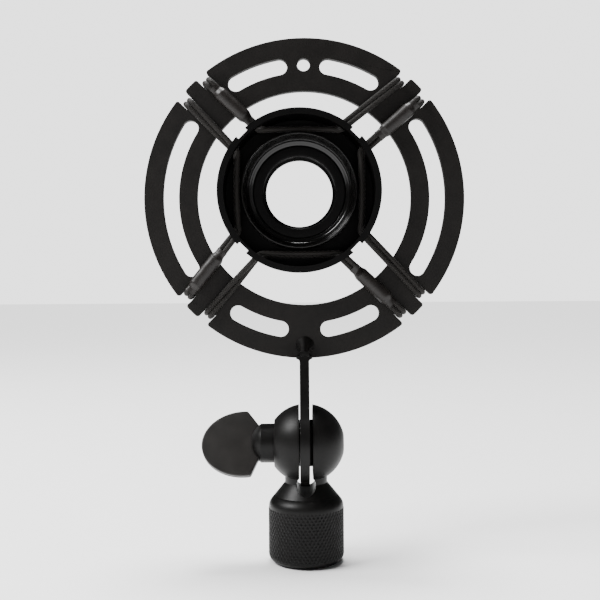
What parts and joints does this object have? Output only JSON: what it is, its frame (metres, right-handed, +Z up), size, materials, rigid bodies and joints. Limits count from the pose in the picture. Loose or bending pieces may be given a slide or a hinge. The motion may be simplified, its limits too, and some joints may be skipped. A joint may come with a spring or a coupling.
{
  "type": "microphone shock mount",
  "caption": "Round microphone shock mount: a slotted ring carries a cup on doubled elastic cords, on a tilting arm with a ball-shaped swivel and thumb screw for a threaded stand.",
  "frame": {"origin": "centre of the mouth of the stand thread, on the flat foot of the swivel base", "axes": "+Z up through the ball's centre; -Y towards the front, the open side of the cup; +X to the right as seen from the front, so the thumb screw is towards -X"},
  "size_m": [0.112, 0.0292, 0.1805],
  "materials": {
    "ring_enamel": "matte fine-textured black enamel",
    "swivel_enamel": "satin black enamel",
    "cup_black": "black enamel",
    "lock_gloss": "gloss black enamel",
    "fibre": "matte black",
    "screw_steel": "blackened steel",
    "elastic_cord": "braided black-brown cover over rubber",
    "sleeve_shrink": "satin dark grey heat-shrink",
    "ferrule_metal": "plain crimped metal"
  },
  "bodies": {
    "swivel": {"swivel_base": "swivel_enamel", "friction_washer_left": "fibre", "friction_washer_right": "fibre"},
    "mount": {"arm": "swivel_enamel", "outer_ring": "ring_enamel", "arm_screw": "screw_steel", "elastic_top": "elastic_cord", "elastic_right": "elastic_cord", "elastic_bottom": "elastic_cord", "elastic_left": "elastic_cord", "sleeve_upper_left": "sleeve_shrink", "sleeve_upper_right": "sleeve_shrink", "sleeve_lower_right": "sleeve_shrink", "sleeve_lower_left": "sleeve_shrink", "ferrule_upper_left": "ferrule_metal", "ferrule_upper_right": "ferrule_metal", "ferrule_lower_right": "ferrule_metal", "ferrule_lower_left": "ferrule_metal"},
    "cup": {"mic_cup": "cup_black", "threaded_bush": "cup_black", "seat_washer": "fibre"},
    "lock_ring": {"lock_ring": "lock_gloss"},
    "thumb_screw": {"thumb_screw_head": "swivel_enamel", "thumb_screw_wing": "swivel_enamel", "clamp_stud": "screw_steel"}
  },
  "joints": [
    {"name": "tilt", "type": "hinge", "parent": "swivel", "child": "mount", "pos_m": [0, 0, 0.04], "axis": [1, 0, 0], "range_deg": [-90, 90]},
    {"name": "cup_float", "type": "slide", "parent": "mount", "child": "cup", "axis": [0, 1, 0], "range_m": [-0.003, 0.003], "stiffness_N_per_m": 1500, "deforming": ["elastic_top", "elastic_right", "elastic_bottom", "elastic_left", "sleeve_upper_left", "sleeve_upper_right", "sleeve_lower_right", "sleeve_lower_left", "ferrule_upper_left", "ferrule_upper_right", "ferrule_lower_right", "ferrule_lower_left"]},
    {"name": "lock_ring_turn", "type": "hinge", "parent": "cup", "child": "lock_ring", "pos_m": [-0.0017, 0.004, 0.1263], "axis": [0, 1, 0], "continuous": true},
    {"name": "thumb_screw_turn", "type": "hinge", "parent": "swivel", "child": "thumb_screw", "pos_m": [0, 0, 0.04], "axis": [1, 0, 0], "continuous": true}
  ]
}
